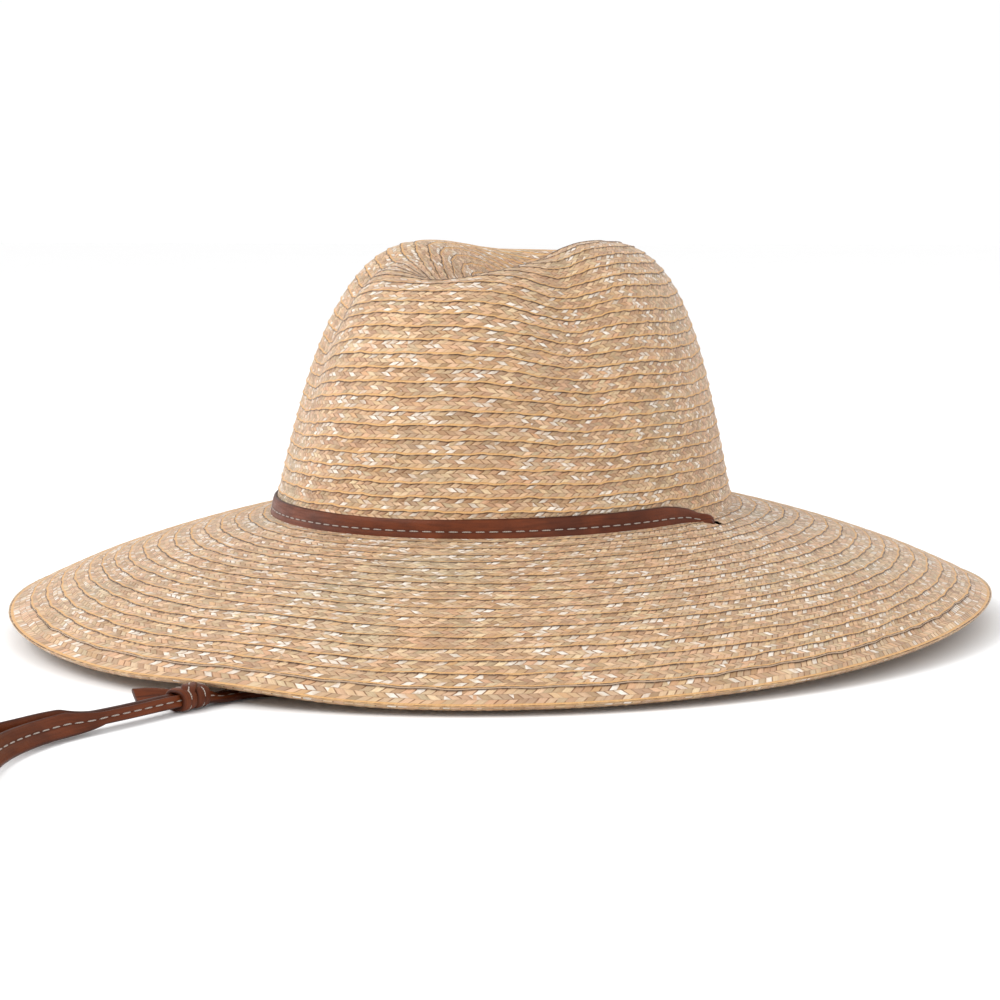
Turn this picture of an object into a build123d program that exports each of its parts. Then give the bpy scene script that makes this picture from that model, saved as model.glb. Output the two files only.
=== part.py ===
from build123d import *
import os

import numpy as np

# Wide-brimmed sun hat sewn from straw braid, with a leather band and a chin strap.
# Millimetres.  The origin is on the standing surface under the middle of the crown.
# +Z is up, -Y is the front of the hat and +X is the wearer's left.

# ---- Driving dimensions -------------------------------------------------------------
CROWN_HALF_LENGTH = 103.0      # outside of the crown at the brim, front to back
CROWN_HALF_WIDTH = 87.0        # outside of the crown at the brim, side to side
BRIM_WIDTH = 102.5             # from the crown to the edge, seen from above
CROWN_FOOT_HEIGHT = 42.2       # height of the line where crown and brim meet
CROWN_RISE = 109.0             # from that line to the top of the side ridges

STRAW_THICKNESS = 2.0          # two laps of sewn braid
EDGE_THICKNESS = 3.0           # the last course is doubled
SEAM_GAP = 0.15                # between one zone of courses and the next

# Crown: a rounded block that narrows upwards, with a centre dent and two front pinches.
CROWN_ROUNDING = 0.468         # power of the sine and cosine that round its shoulders
LEAN_LENGTH = 10.7             # how much each end leans in by the top
LEAN_WIDTH = 23.5              # how much each side leans in by the top
DENT_DEPTH = 27.0
DENT_HALF_WIDTH = 24.0
DENT_BACK_END = 48.5           # where the dent fades out behind the centre
DENT_FRONT_DEPTH = 6.0         # the dent is shallow where it runs out at the front
DENT_FRONT_START = -60.0
DENT_FADE = 8.0
BACK_DROP = 3.0                # the rear rim is lower than the side ridges
PINCH_DEPTH = 13.0
PINCH_ANGLE = 41.0             # degrees from the front
PINCH_SPREAD = 17.0
BUTTON_RADIUS = 7.0            # start of the spiral, at the middle of the tip
BUTTON_MARGIN = 2.1            # how far its uncut slab reaches past its rim
WALL_SHARE = 0.36              # share of each meridian, from the foot, that is the wall
TIP_SHARE = 0.40               # share of each meridian that counts as the tip

# Brim: it curves down more steeply towards its edge, and its sides are a little raised.
BRIM_FIRST_SLOPE = 0.608       # share of the drop per brim width, next to the crown
EDGE_WAVE = 7.6                # how far the raised sides stand above the low points
EDGE_WAVE_TURN = 19.5          # degrees that the low points lie off the front and back
BRIM_INNER_WIDTH = 46.0
EDGE_COURSE_WIDTH = 8.0
STRAP_BRIM_GAP = 0.54          # the edge rides up to clear the chin strap by this much
STRAP_GAP_ANGLE = -3.3
STRAP_GAP_SPREAD = 9.0

# Sweatband, leather band and eyelets.
SWEATBAND_HEIGHT = 28.0
SWEATBAND_THICKNESS = 1.0
CLEARANCE = 0.3
BAND_WIDTH = 8.5
BAND_THICKNESS = 1.6
EYELET_ANGLE = 79.0            # degrees from the front, on each side
EYELET_OFFSET = 6.4            # from the crown, along the brim
EYELET_FLANGE_RADIUS = 4.7
EYELET_HOLE_RADIUS = 2.9
EYELET_WALL = 0.45
EYELET_FLANGE_THICKNESS = 0.5
EYELET_FIT = 0.08
EYELET_ROUNDING = 0.18
BAND_END_ANGLE = 70.0          # where the band leaves the crown for its eyelet
BAND_TAIL_LAP = 0.5            # degrees by which its tails start inside the strap
TONGUE_WIDTH = 4.2             # the strap folded lengthwise to go through an eyelet
STITCH_PITCH = 4.8
STITCH_LENGTH = 3.6
STITCH_WIDTH = 0.8
STITCH_THICKNESS = 0.4
STITCH_GAP = 0.08
STITCH_END_ANGLE = 3.0         # plain leather left at each end of the row

# Chin strap: one long strap curled lengthwise, laid out on the standing surface.
STRAP_WIDTH = 4.4
STRAP_HEIGHT = 3.0
STRAP_SPACING = STRAP_WIDTH + CLEARANCE
STRAP_FLOOR_GAP = 0.1
KNOT_WALL = 1.5
KNOT_LENGTH = 17.5
KNOT_TAIL_LENGTH = 13.0
KNOT_TAIL_THICKNESS = 1.5
KNOT_ROUNDING_SHARE = 0.45     # share of the knot's height that its corners take
KNOT_CENTRE = (-17.1, -224.2)
KNOT_HEADING = 13.5            # degrees from straight ahead towards the wearer's right

# Grids from which the curved surfaces are made.
PHI_STEPS = 72                 # steps around the hat
CROWN_STEPS = 12
BRIM_STEPS = 8
EDGE_STEPS = 3
SWEATBAND_STEPS = 5
BUTTON_STEPS = 8
BAND_STEPS = 28
MERIDIAN_SAMPLES = 400
SLOPE_STEP = 0.5               # mm each way, to measure a surface's slope
ANGLE_STEP = 0.5               # degrees, to measure a direction around the hat


# ---- Surfaces -----------------------------------------------------------------------
def ring_angles():
    """Angles around the hat, from the front towards the wearer's left."""
    return np.linspace(0.0, 2.0 * np.pi, PHI_STEPS + 1)


def bump(angle, centre, spread):
    """A smooth bump of height 1 around an angle, in degrees."""
    turn = (np.degrees(angle) - centre + 180.0) % 360.0 - 180.0
    return np.exp(-((turn / spread) ** 2))


def logistic(value):
    return 1.0 / (1.0 + np.exp(-value))


def dent_depth(x, y):
    """Depth of the centre dent below the ridges at a plan position."""
    front = logistic((DENT_FRONT_START - y) / DENT_FADE)
    back = logistic((DENT_BACK_END - y) / DENT_FADE)
    deep = DENT_DEPTH * back * (1.0 - front)
    shallow = DENT_FRONT_DEPTH * front
    return (deep + shallow) * np.exp(-((x / DENT_HALF_WIDTH) ** 2))


def crown_radius(phi, rise):
    """Plan radius of the crown's block; rise is 0 at the brim and 1 at the top."""
    half_length = CROWN_HALF_LENGTH - LEAN_LENGTH * rise
    half_width = CROWN_HALF_WIDTH - LEAN_WIDTH * rise
    radius = 1.0 / np.hypot(np.cos(phi) / half_length, np.sin(phi) / half_width)
    pinch = bump(phi, PINCH_ANGLE, PINCH_SPREAD) + bump(phi, -PINCH_ANGLE, PINCH_SPREAD)
    return radius - PINCH_DEPTH * rise * pinch


def crown_points(phi, t):
    """Outside of the crown: t is 0 at the middle of the tip and pi/2 at the brim."""
    rise = np.maximum(np.cos(t), 0.0) ** CROWN_ROUNDING
    radius = crown_radius(phi, rise) * np.sin(t) ** CROWN_ROUNDING
    x = radius * np.sin(phi)
    y = -radius * np.cos(phi)
    drop = dent_depth(x, y) + BACK_DROP * np.clip(y / CROWN_HALF_LENGTH, 0.0, 1.0) ** 2
    z = CROWN_FOOT_HEIGHT + rise * (CROWN_RISE - drop)
    return np.stack([x, y, z], axis=-1)


def crown_meridian(phi):
    """Closely spaced points from the crown's foot up to the button's rim."""
    button_t = np.arcsin((BUTTON_RADIUS / crown_radius(phi, 1.0)) ** (1.0 / CROWN_ROUNDING))
    middle_root = (np.pi / 4) ** 0.5
    near_tip = np.linspace(button_t ** 0.5, middle_root, MERIDIAN_SAMPLES) ** 2
    near_foot = np.pi / 2 - np.linspace(middle_root, 0.0, MERIDIAN_SAMPLES) ** 2
    t = np.concatenate([near_tip, near_foot[1:]])[::-1]
    points = crown_points(phi, t)
    foot = points[:1] - np.array([0.0, 0.0, STRAW_THICKNESS])
    points = np.concatenate([foot, points])
    return points, arc_lengths(points)


def arc_lengths(points):
    steps = np.linalg.norm(np.diff(points, axis=0), axis=1)
    return np.concatenate([[0.0], np.cumsum(steps)])


def along(points, lengths, wanted):
    """Positions at the wanted distances along a line of points."""
    return np.stack([np.interp(wanted, lengths, points[:, k]) for k in range(3)], axis=-1)


def crown_zone(start, end, steps):
    """Grid of the crown's outside and its slope; start and end are (share, mm)."""
    rows = []
    slopes = []
    for phi in ring_angles():
        points, lengths = crown_meridian(phi)
        low = start[0] * lengths[-1] + start[1]
        high = end[0] * lengths[-1] + end[1]
        wanted = np.linspace(low, high, steps + 1)
        rows.append(along(points, lengths, wanted))
        ahead = along(points, lengths, wanted + SLOPE_STEP)
        behind = along(points, lengths, wanted - SLOPE_STEP)
        slopes.append(ahead - behind)
    return np.array(rows), np.array(slopes)


def edge_wave(phi):
    """Height of the edge's underside where nothing lifts it."""
    return EDGE_WAVE * np.sin(phi - np.radians(EDGE_WAVE_TURN)) ** 2


def edge_height(phi):
    """Height of the brim's upper surface at its edge."""
    gap_top = STRAP_FLOOR_GAP + STRAP_HEIGHT + STRAP_BRIM_GAP
    lift = gap_top - edge_wave(np.radians(STRAP_GAP_ANGLE))
    return EDGE_FOOT + edge_wave(phi) + lift * bump(phi, STRAP_GAP_ANGLE, STRAP_GAP_SPREAD)


def brim_points(phi, width):
    """Upper surface of the brim, at a plan distance from the foot of the crown."""
    radius = 1.0 / np.hypot(np.cos(phi) / CROWN_HALF_LENGTH, np.sin(phi) / CROWN_HALF_WIDTH)
    x = radius * np.sin(phi)
    y = -radius * np.cos(phi)
    out_x = x / CROWN_HALF_WIDTH ** 2
    out_y = y / CROWN_HALF_LENGTH ** 2
    size = np.hypot(out_x, out_y)
    share = width / BRIM_WIDTH
    fall = BRIM_FIRST_SLOPE * share + (1.0 - BRIM_FIRST_SLOPE) * share ** 2
    edge = edge_height(phi)
    z = CROWN_FOOT_HEIGHT - (CROWN_FOOT_HEIGHT - edge) * fall
    return np.stack([x + out_x / size * width, y + out_y / size * width, z], axis=-1)


def brim_zone(start, end, steps):
    """Grid of the brim's upper surface and its slope, from the outside inwards."""
    phi = ring_angles()[:, None]
    width = np.linspace(end, start, steps + 1)[None, :]
    slope = brim_points(phi, width - SLOPE_STEP) - brim_points(phi, width + SLOPE_STEP)
    return brim_points(phi, width), slope


# The edge's underside just touches the standing surface at its two low points.
EDGE_SLOPE = (2.0 - BRIM_FIRST_SLOPE) * CROWN_FOOT_HEIGHT / BRIM_WIDTH
EDGE_FOOT = EDGE_THICKNESS / np.hypot(1.0, EDGE_SLOPE)


# ---- Shells from grids --------------------------------------------------------------
def outward_normals(grid, slope):
    """Unit normals of a closed ring grid, pointing away from the wearer's head."""
    around = np.roll(grid[:-1], -1, axis=0) - np.roll(grid[:-1], 1, axis=0)
    around = np.concatenate([around, around[:1]])
    normal = np.cross(around, slope)
    normal[:: PHI_STEPS // 2, :, 0] = 0.0
    return normal / np.linalg.norm(normal, axis=2, keepdims=True)


def solid_between(outside, inside):
    """Closed solid between two matching open grids of points."""
    skins = [
        Face.make_surface_from_array_of_points([[Vector(*p) for p in row] for row in grid])
        for grid in (outside, inside)
    ]
    sides = [
        Face.make_surface_from_curves(outer_edge, inner_edge)
        for outer_edge, inner_edge in zip(skins[0].edges(), skins[1].edges())
    ]
    return Solid(Shell(skins + sides))


def ring_shell(zone, depth, thickness):
    """Shell of the given thickness whose outer face lies that depth below the zone."""
    grid, slope = zone
    normal = outward_normals(grid, slope)
    outside = grid - normal * depth
    inside = grid - normal * (depth + thickness)
    middle = PHI_STEPS // 2
    left = solid_between(outside[: middle + 1], inside[: middle + 1])
    right = solid_between(outside[middle:], inside[middle:])
    return left + right


# ---- Straw --------------------------------------------------------------------------
def crown_wall():
    zone = crown_zone((0.0, 0.0), (WALL_SHARE, -SEAM_GAP), CROWN_STEPS)
    return ring_shell(zone, 0.0, STRAW_THICKNESS)


def crown_shoulder():
    zone = crown_zone((WALL_SHARE, 0.0), (1.0 - TIP_SHARE, -SEAM_GAP), CROWN_STEPS)
    return ring_shell(zone, 0.0, STRAW_THICKNESS)


def crown_tip():
    zone = crown_zone((1.0 - TIP_SHARE, 0.0), (1.0, 0.0), CROWN_STEPS)
    return ring_shell(zone, 0.0, STRAW_THICKNESS)


def tip_button():
    """Round start of the spiral, which follows the bottom of the dent."""
    half_side = BUTTON_RADIUS + BUTTON_MARGIN
    reach = np.linspace(-half_side, half_side, BUTTON_STEPS + 1)
    x, y = np.meshgrid(reach, reach, indexing="ij")
    z = CROWN_FOOT_HEIGHT + CROWN_RISE - dent_depth(x, y)
    top = np.stack([x, y, z], axis=-1)
    slab = solid_between(top, top - np.array([0.0, 0.0, STRAW_THICKNESS]))
    return slab & Pos(0, 0, CROWN_FOOT_HEIGHT + CROWN_RISE) * Cylinder(
        BUTTON_RADIUS - SEAM_GAP, 4 * DENT_DEPTH
    )


def brim_inner():
    foot_slope = BRIM_FIRST_SLOPE * CROWN_FOOT_HEIGHT / BRIM_WIDTH
    start = SEAM_GAP + STRAW_THICKNESS * foot_slope
    shell = ring_shell(brim_zone(start, BRIM_INNER_WIDTH, BRIM_STEPS), 0.0, STRAW_THICKNESS)
    for side in (1, -1):
        hole = Cylinder(EYELET_HOLE_RADIUS + EYELET_WALL + EYELET_FIT, 6 * STRAW_THICKNESS)
        shell -= eyelet_plane(side) * hole
    return shell


def brim_outer():
    end = BRIM_WIDTH - EDGE_COURSE_WIDTH - SEAM_GAP
    zone = brim_zone(BRIM_INNER_WIDTH + SEAM_GAP, end, BRIM_STEPS)
    return ring_shell(zone, 0.0, STRAW_THICKNESS)


def brim_edge():
    zone = brim_zone(BRIM_WIDTH - EDGE_COURSE_WIDTH, BRIM_WIDTH, EDGE_STEPS)
    return ring_shell(zone, 0.0, EDGE_THICKNESS)


def sweatband():
    zone = crown_zone((0.0, 0.0), (0.0, SWEATBAND_HEIGHT), SWEATBAND_STEPS)
    return ring_shell(zone, STRAW_THICKNESS + CLEARANCE, SWEATBAND_THICKNESS)


# ---- Eyelets ------------------------------------------------------------------------
def eyelet_plane(side):
    """Plane on the brim's upper surface at an eyelet, facing along its hole."""
    phi = side * np.radians(EYELET_ANGLE)
    centre = brim_points(phi, EYELET_OFFSET)
    farther = brim_points(phi, EYELET_OFFSET + SLOPE_STEP)
    outward = farther - brim_points(phi, EYELET_OFFSET - SLOPE_STEP)
    turn = np.radians(ANGLE_STEP)
    around = brim_points(phi + turn, EYELET_OFFSET) - brim_points(phi - turn, EYELET_OFFSET)
    normal = np.cross(around, outward)
    normal *= np.sign(normal[2])
    return Plane(origin=Vector(*centre), x_dir=Vector(*outward), z_dir=Vector(*normal))


def ring(outer_radius, inner_radius, bottom, top):
    """Flat ring between two heights on the working plane."""
    profile = Circle(outer_radius) - Circle(inner_radius)
    return Pos(0, 0, bottom) * extrude(profile, top - bottom)


WASHER_TOP = -STRAW_THICKNESS - 2 * EYELET_FIT
WASHER_BOTTOM = WASHER_TOP - EYELET_FLANGE_THICKNESS
EYELET_BOTTOM = WASHER_BOTTOM - EYELET_FIT - EYELET_WALL


def eyelet(side):
    """Metal eyelet: a flange on the brim, a barrel through it and a rolled end."""
    barrel_radius = EYELET_HOLE_RADIUS + EYELET_WALL
    flange_top = 2 * EYELET_FIT + EYELET_FLANGE_THICKNESS
    flange = ring(EYELET_FLANGE_RADIUS, EYELET_HOLE_RADIUS, 2 * EYELET_FIT, flange_top)
    rounding = min(EYELET_ROUNDING, 0.4 * EYELET_FLANGE_THICKNESS)
    flange = fillet(flange.edges().group_by(Axis.Z)[-1], rounding)
    barrel = ring(barrel_radius, EYELET_HOLE_RADIUS, EYELET_BOTTOM, flange_top - EYELET_WALL)
    rolled = ring(barrel_radius + EYELET_WALL, EYELET_HOLE_RADIUS, EYELET_BOTTOM,
                  EYELET_BOTTOM + EYELET_WALL)
    return eyelet_plane(side) * (flange + barrel + rolled)


def eyelet_washer(side):
    bore = EYELET_HOLE_RADIUS + EYELET_WALL + EYELET_FIT
    return eyelet_plane(side) * ring(EYELET_FLANGE_RADIUS, bore, WASHER_BOTTOM, WASHER_TOP)


# ---- Leather band -------------------------------------------------------------------
def band_line(angle, offset):
    """Plan position beside the foot of the crown, at an angle in degrees."""
    point = brim_points(np.radians(angle), offset)
    return Vector(point[0], point[1], 0.0)


BAND_BOTTOM = CROWN_FOOT_HEIGHT + CLEARANCE
BAND_MIDDLE = BAND_BOTTOM + BAND_WIDTH / 2


def band_tail(side):
    """End of the band: it narrows, turns out to the eyelet and goes down through it."""
    seat = eyelet_plane(side)
    start_angle = BAND_END_ANGLE - BAND_TAIL_LAP
    start = band_line(side * start_angle, CLEARANCE + BAND_THICKNESS / 2)
    back = band_line(side * (start_angle - 2 * ANGLE_STEP), CLEARANCE + BAND_THICKNESS / 2)
    start_plane = Plane(
        origin=(start.X, start.Y, BAND_MIDDLE), x_dir=(0, 0, 1), z_dir=start - back
    )
    flange_top = 2 * EYELET_FIT + EYELET_FLANGE_THICKNESS
    tongue_height = TONGUE_WIDTH / 2
    high = flange_top + 3 * CLEARANCE + tongue_height / 2
    top = seat.from_local_coords(Vector(0, 0, high))
    flat = Vector(top.X - start.X, top.Y - start.Y, 0)
    end_plane = Plane(origin=top, x_dir=(0, 0, 1), z_dir=flat)
    turn = loft([
        start_plane * Rectangle(BAND_WIDTH, BAND_THICKNESS),
        end_plane * Rectangle(tongue_height, TONGUE_WIDTH),
    ])
    low = EYELET_BOTTOM - CLEARANCE
    across = end_plane.y_dir
    tongue_plane = Plane(
        origin=seat.from_local_coords(Vector(0, 0, low)), x_dir=across, z_dir=seat.z_dir
    )
    tongue = extrude(tongue_plane * Rectangle(TONGUE_WIDTH, BAND_THICKNESS), high - low)
    return turn + tongue


def leather_band():
    """Flat strap round the front of the crown, from one eyelet to the other."""
    angles = np.linspace(-BAND_END_ANGLE, BAND_END_ANGLE, BAND_STEPS + 1)
    inner = [band_line(angle, CLEARANCE) for angle in angles]
    outer = [band_line(angle, CLEARANCE + BAND_THICKNESS) for angle in angles]
    outline = Wire([
        Edge.make_spline(inner),
        Edge.make_line(inner[-1], outer[-1]),
        Edge.make_spline(outer),
        Edge.make_line(outer[0], inner[0]),
    ])
    strap = Pos(0, 0, BAND_BOTTOM) * extrude(Face(outline), BAND_WIDTH, dir=(0, 0, 1))
    return strap + band_tail(1) + band_tail(-1)


def band_stitching():
    """Row of separate stitches along the middle of the leather band."""
    stitches = []
    angle = -BAND_END_ANGLE + STITCH_END_ANGLE
    lie = CLEARANCE + BAND_THICKNESS + STITCH_GAP + STITCH_THICKNESS / 2
    while angle < BAND_END_ANGLE - STITCH_END_ANGLE:
        here = band_line(angle, lie)
        ahead = band_line(angle + ANGLE_STEP, lie)
        plane = Plane(origin=(here.X, here.Y, BAND_MIDDLE), x_dir=ahead - here, z_dir=(0, 0, 1))
        stitches.append(plane * Box(STITCH_LENGTH, STITCH_THICKNESS, STITCH_WIDTH))
        angle += ANGLE_STEP * STITCH_PITCH / (ahead - here).length
    return Compound(stitches)


# ---- Chin strap and knot ------------------------------------------------------------
def strap_place(forward, side, z):
    """Point given along and across the strap's heading, measured from the knot."""
    heading = np.radians(KNOT_HEADING)
    x = KNOT_CENTRE[0] - forward * np.sin(heading) + side * np.cos(heading)
    y = KNOT_CENTRE[1] - forward * np.cos(heading) - side * np.sin(heading)
    return (x, y, z)


STRAP_Z = STRAP_FLOOR_GAP + STRAP_HEIGHT / 2
KNOT_Z = STRAP_FLOOR_GAP + KNOT_WALL + CLEARANCE + STRAP_HEIGHT / 2
HALF_SPACING = STRAP_SPACING / 2
ARC_SHARE = 0.45               # share of its shorter run that a corner's arc takes up

CHIN_STRAP_POINTS = [
    (91.2, -18.0, 34.5),
    (88.5, -40.0, 12.0),
    (77.0, -77.0, STRAP_Z),
    (57.0, -117.0, STRAP_Z),
    (32.0, -152.0, STRAP_Z),
    (8.0, -181.0, STRAP_Z),
    strap_place(-19.5, HALF_SPACING, STRAP_Z),
    strap_place(-9.5, HALF_SPACING, KNOT_Z),
    strap_place(42.0, HALF_SPACING, KNOT_Z),
    strap_place(76.0, 4.0, STRAP_Z),
    strap_place(104.0, 16.0, STRAP_Z),
    strap_place(130.0, 24.0, STRAP_Z),
    strap_place(152.0, 12.5, STRAP_Z),
    strap_place(152.0, -12.5, STRAP_Z),
    strap_place(130.0, -24.0, STRAP_Z),
    strap_place(104.0, -16.0, STRAP_Z),
    strap_place(76.0, -4.0, STRAP_Z),
    strap_place(42.0, -HALF_SPACING, KNOT_Z),
    strap_place(-9.5, -HALF_SPACING, KNOT_Z),
    strap_place(-19.5, -HALF_SPACING, STRAP_Z),
    (-25.0, -178.0, STRAP_Z),
    (-45.0, -150.0, STRAP_Z),
    (-67.0, -115.0, STRAP_Z),
    (-82.0, -76.0, STRAP_Z),
    (-89.5, -40.0, 12.0),
    (-91.2, -18.0, 34.5),
]


def arc_radii(points):
    """Largest arc that each corner's two runs allow."""
    radii = []
    for before, here, after in zip(points, points[1:], points[2:]):
        run_in = Vector(*here) - Vector(*before)
        run_out = Vector(*after) - Vector(*here)
        half_turn = np.radians(run_in.get_angle(run_out)) / 2
        shorter = min(run_in.length, run_out.length)
        radii.append(ARC_SHARE * shorter / np.tan(half_turn))
    return radii


def strap_half(corners, radii):
    """Half of the strap, from the middle of its loop to its eyelet."""
    path = FilletPolyline(*corners, radius=radii)
    heading = path.tangent_at(0)
    section_plane = Plane(
        origin=path.position_at(0), x_dir=heading.cross(Vector(0, 0, 1)), z_dir=heading
    )
    half = sweep(section_plane * Rectangle(STRAP_WIDTH, STRAP_HEIGHT), path=path)
    print("strap half: length", round(path.length, 1), "volume", round(half.volume, 1),
          "section times length", round(STRAP_WIDTH * STRAP_HEIGHT * path.length, 1))
    return half


def chin_strap():
    """One strap from eyelet to eyelet, through the knot, with a loop at its far end."""
    points = CHIN_STRAP_POINTS
    radii = arc_radii(points)
    print("arc radii:", [round(float(r), 1) for r in radii])
    middle = len(points) // 2
    loop_end = (Vector(*points[middle - 1]) + Vector(*points[middle])) / 2
    left = strap_half([loop_end] + points[middle - 1::-1], radii[middle - 2::-1])
    right = strap_half([loop_end] + points[middle:], radii[middle - 1:])
    return left + right


def slider_knot():
    """Short strap tied in two wraps round both strands, with its tail on one side."""
    slot_width = 2 * STRAP_WIDTH + 3 * CLEARANCE
    slot_height = STRAP_HEIGHT + 2 * CLEARANCE
    outer_width = slot_width + 2 * KNOT_WALL
    outer_height = slot_height + 2 * KNOT_WALL
    wraps = Box(KNOT_LENGTH, outer_width, outer_height)
    wraps = fillet(wraps.edges().filter_by(Axis.X), KNOT_ROUNDING_SHARE * outer_height)
    groove = Box(CLEARANCE, outer_width, outer_height) - Box(
        CLEARANCE, outer_width - KNOT_WALL, outer_height - KNOT_WALL
    )
    slot = Box(2 * KNOT_LENGTH, slot_width, slot_height)
    tail_width = KNOT_LENGTH / 2 - CLEARANCE
    tail_reach = outer_width / 2 + KNOT_TAIL_LENGTH
    tail_start = slot_width / 2 + KNOT_WALL / 2
    tail = Pos(-tail_width / 2, -(tail_start + tail_reach) / 2, 0) * Box(
        tail_width, tail_reach - tail_start, KNOT_TAIL_THICKNESS
    )
    x, y, z = strap_place(0.0, 0.0, KNOT_Z)
    heading = strap_place(1.0, 0.0, 0.0)
    along_strap = Vector(heading[0] - x, heading[1] - y, 0.0)
    return Plane(origin=(x, y, z), x_dir=along_strap, z_dir=(0, 0, 1)) * (
        wraps - groove - slot + tail
    )


PARTS = {
    "crown_wall": crown_wall,
    "crown_shoulder": crown_shoulder,
    "crown_tip": crown_tip,
    "tip_button": tip_button,
    "brim_inner": brim_inner,
    "brim_outer": brim_outer,
    "brim_edge": brim_edge,
    "sweatband": sweatband,
    "leather_band": leather_band,
    "band_stitching": band_stitching,
    "eyelet_left": lambda: eyelet(1),
    "eyelet_right": lambda: eyelet(-1),
    "eyelet_washer_left": lambda: eyelet_washer(1),
    "eyelet_washer_right": lambda: eyelet_washer(-1),
    "chin_strap": chin_strap,
    "slider_knot": slider_knot,
}

os.makedirs("parts", exist_ok=True)
for name, build in PARTS.items():
    export_step(build(), f"parts/{name}.step")
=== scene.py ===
import bpy
import numpy as np
from mathutils import Matrix, Vector


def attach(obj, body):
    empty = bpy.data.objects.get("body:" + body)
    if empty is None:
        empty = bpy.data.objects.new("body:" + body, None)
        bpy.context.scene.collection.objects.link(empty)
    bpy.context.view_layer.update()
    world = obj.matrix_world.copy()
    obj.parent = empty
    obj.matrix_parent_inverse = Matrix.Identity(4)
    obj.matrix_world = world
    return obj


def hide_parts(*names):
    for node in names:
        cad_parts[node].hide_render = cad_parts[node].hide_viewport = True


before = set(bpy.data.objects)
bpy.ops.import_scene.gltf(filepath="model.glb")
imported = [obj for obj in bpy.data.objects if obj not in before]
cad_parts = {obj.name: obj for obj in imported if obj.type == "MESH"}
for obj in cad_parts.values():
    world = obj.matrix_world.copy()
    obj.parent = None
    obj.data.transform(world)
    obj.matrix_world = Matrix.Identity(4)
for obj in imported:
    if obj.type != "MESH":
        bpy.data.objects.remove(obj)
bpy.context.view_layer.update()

# The looks of a wide-brimmed straw hat with a leather band and a chin strap.
# Lengths are in millimetres until a mesh is made. The front of the hat is -Y.
MM = 0.001
UP = np.array([0.0, 0.0, 1.0])


# ---- Camera -------------------------------------------------------------------------
CAMERA_AZIMUTH = 23.116        # degrees from the front towards the wearer's left
CAMERA_DISTANCE = 975.6
CAMERA_HEIGHT = 163.2
CAMERA_PITCH = 6.910           # degrees down
CAMERA_YAW = 0.131
CAMERA_ROLL = -0.284
CAMERA_LENS = 88.48


def make_camera():
    azimuth, turned, pitch, roll = np.radians(
        [CAMERA_AZIMUTH, CAMERA_AZIMUTH + CAMERA_YAW, CAMERA_PITCH, CAMERA_ROLL]
    )
    ahead = np.array([
        -np.sin(turned) * np.cos(pitch), np.cos(turned) * np.cos(pitch), -np.sin(pitch)
    ])
    right = np.array([np.cos(turned), np.sin(turned), 0.0])
    up = np.cross(right, ahead)
    tilted_right = right * np.cos(roll) + up * np.sin(roll)
    tilted_up = up * np.cos(roll) - right * np.sin(roll)
    place = np.array([
        CAMERA_DISTANCE * np.sin(azimuth), -CAMERA_DISTANCE * np.cos(azimuth), CAMERA_HEIGHT
    ])
    camera = bpy.data.objects.new("camera", bpy.data.cameras.new("camera"))
    bpy.context.scene.collection.objects.link(camera)
    camera.data.lens = CAMERA_LENS
    camera.data.sensor_width = 36.0
    camera.data.clip_start = 0.05
    camera.data.clip_end = 50.0
    columns = np.array([tilted_right, tilted_up, -ahead, place * MM]).T
    camera.matrix_world = Matrix(columns.tolist() + [[0.0, 0.0, 0.0, 1.0]])
    bpy.context.scene.camera = camera


# ---- Meshes from arrays -------------------------------------------------------------
def mesh_object(name, points, faces, material, uv=None, body="hat"):
    """One smooth mesh piece; faces is a list of index arrays of 3 or 4 columns."""
    mesh = bpy.data.meshes.new(name)
    loops = np.concatenate([f.ravel() for f in faces]).astype(np.int32)
    sizes = np.concatenate([np.full(len(f), f.shape[1], np.int32) for f in faces])
    starts = np.concatenate([[0], np.cumsum(sizes)[:-1]]).astype(np.int32)
    mesh.vertices.add(len(points))
    mesh.vertices.foreach_set("co", (np.asarray(points) * MM).astype(np.float32).ravel())
    mesh.loops.add(len(loops))
    mesh.loops.foreach_set("vertex_index", loops)
    mesh.polygons.add(len(sizes))
    mesh.polygons.foreach_set("loop_start", starts)
    mesh.polygons.foreach_set("use_smooth", np.ones(len(sizes), bool))
    mesh.update(calc_edges=True)
    if uv is not None:
        layer = mesh.uv_layers.new(name="plait")
        layer.data.foreach_set("uv", np.asarray(uv, np.float32).ravel())
    mesh.materials.append(material)
    piece = bpy.data.objects.new(name, mesh)
    bpy.context.scene.collection.objects.link(piece)
    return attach(piece, body)


def unit(vectors):
    return vectors / np.linalg.norm(vectors, axis=-1, keepdims=True)


def smooth_step(low, high, value):
    share = np.clip((value - low) / (high - low), 0.0, 1.0)
    return share * share * (3.0 - 2.0 * share)


def lengths_along(path):
    """Distance along a path at each of its points."""
    return np.concatenate([[0.0], np.cumsum(np.linalg.norm(np.diff(path, axis=0), axis=1))])


def points_at(wanted, lengths, values):
    """Values along a path, such as its points, at the wanted lengths."""
    return np.stack([np.interp(wanted, lengths, values[:, k]) for k in range(3)], axis=-1)


def even_points(path, count):
    lengths = lengths_along(path)
    return points_at(np.linspace(0.0, lengths[-1], count), lengths, path)


# ---- Material graphs ----------------------------------------------------------------
def colour(red, green, blue):
    """Linear colour from screen values of 0 to 255."""
    c = np.array([red, green, blue]) / 255.0
    c = np.where(c <= 0.04045, c / 12.92, ((c + 0.055) / 1.055) ** 2.4)
    return (*(float(x) for x in c), 1.0)


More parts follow.
